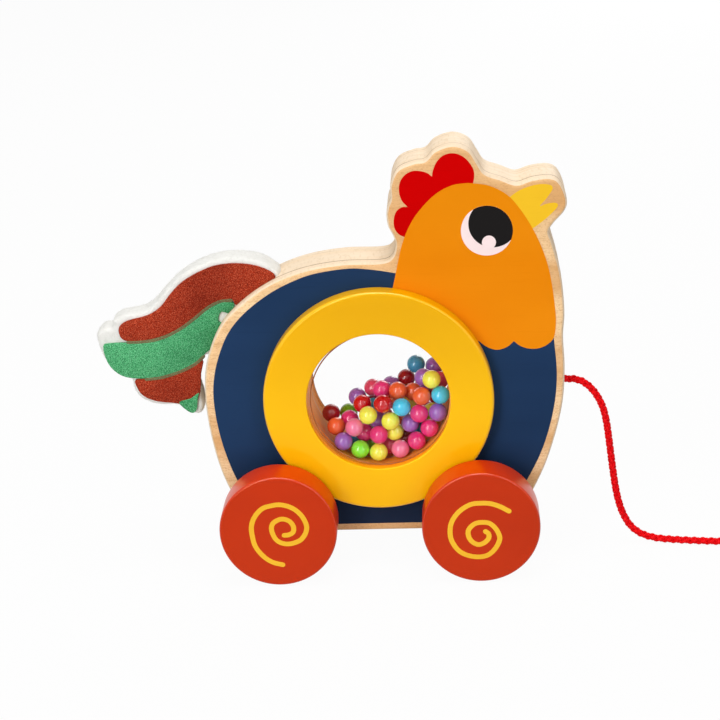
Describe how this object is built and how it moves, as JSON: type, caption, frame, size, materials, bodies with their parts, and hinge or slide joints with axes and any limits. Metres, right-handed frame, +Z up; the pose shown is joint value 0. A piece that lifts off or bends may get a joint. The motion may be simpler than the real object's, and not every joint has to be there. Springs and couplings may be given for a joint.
{
  "type": "pull-along rooster toy",
  "caption": "Wooden rooster on wheels with a round window through its body full of loose beads, a felt tail and a pull cord.",
  "frame": {"origin": "centre of the toy's footprint box on the floor, without the free cord", "axes": "+X towards the beak, +Y towards the bird's left side, +Z up"},
  "size_m": [0.3459, 0.0746, 0.1841],
  "materials": {
    "wood": "satin varnished plywood, printed with paint on the outer faces",
    "yellow_paint": "gloss yellow paint on wood",
    "red_paint": "gloss orange-red paint on wood",
    "dowel_wood": "bare turned wood",
    "clear_plastic": "clear polished acrylic",
    "white_felt": "thick white felt",
    "rust_felt": "rust red felt",
    "green_felt": "green felt",
    "red_cord": "red braided cord",
    "bead_plastic": "glossy coloured beads, in mixed colours"
  },
  "bodies": {
    "chassis": {"right_panel": "wood", "core_board": "wood", "left_panel": "wood", "right_ring": "yellow_paint", "left_ring": "yellow_paint", "right_pane": "clear_plastic", "left_pane": "clear_plastic", "tail_felt": "white_felt", "tail_right_upper_red": "rust_felt", "tail_right_green": "green_felt", "tail_right_lower_red": "rust_felt", "tail_left_upper_red": "rust_felt", "tail_left_green": "green_felt", "tail_left_lower_red": "rust_felt", "pull_cord": "red_cord", "cord_coil": "red_cord", "cord_knot": "red_cord", "pull_ball": "red_paint"},
    "front_wheels": {"front_axle": "dowel_wood", "front_right_wheel": "red_paint", "front_right_collar": "dowel_wood", "front_left_wheel": "red_paint", "front_left_collar": "dowel_wood"},
    "rear_wheels": {"rear_axle": "dowel_wood", "rear_right_wheel": "red_paint", "rear_right_collar": "dowel_wood", "rear_left_wheel": "red_paint", "rear_left_collar": "dowel_wood"},
    "bead_pile": {"bead_01": "bead_plastic", "bead_02": "bead_plastic", "bead_03": "bead_plastic", "bead_04": "bead_plastic", "bead_05": "bead_plastic", "bead_06": "bead_plastic", "bead_07": "bead_plastic", "bead_08": "bead_plastic", "bead_09": "bead_plastic", "bead_10": "bead_plastic", "bead_11": "bead_plastic", "bead_12": "bead_plastic", "bead_13": "bead_plastic", "bead_14": "bead_plastic", "bead_15": "bead_plastic", "bead_16": "bead_plastic", "bead_17": "bead_plastic", "bead_18": "bead_plastic", "bead_19": "bead_plastic", "bead_20": "bead_plastic", "bead_21": "bead_plastic", "bead_22": "bead_plastic", "bead_23": "bead_plastic", "bead_24": "bead_plastic", "bead_25": "bead_plastic", "bead_26": "bead_plastic", "bead_27": "bead_plastic", "bead_28": "bead_plastic", "bead_29": "bead_plastic", "bead_30": "bead_plastic"}
  },
  "joints": [
    {"name": "front_wheels_roll", "type": "hinge", "parent": "chassis", "child": "front_wheels", "pos_m": [0.06176, 0, 0.02495], "axis": [0, 1, 0], "continuous": true},
    {"name": "rear_wheels_roll", "type": "hinge", "parent": "chassis", "child": "rear_wheels", "pos_m": [-0.02394, 0, 0.02495], "axis": [0, 1, 0], "continuous": true},
    {"name": "bead_pile_tumble", "type": "hinge", "parent": "chassis", "child": "bead_pile", "pos_m": [0.01981, 0, 0.0761], "axis": [0, 1, 0], "range_deg": [-10, 55]}
  ]
}
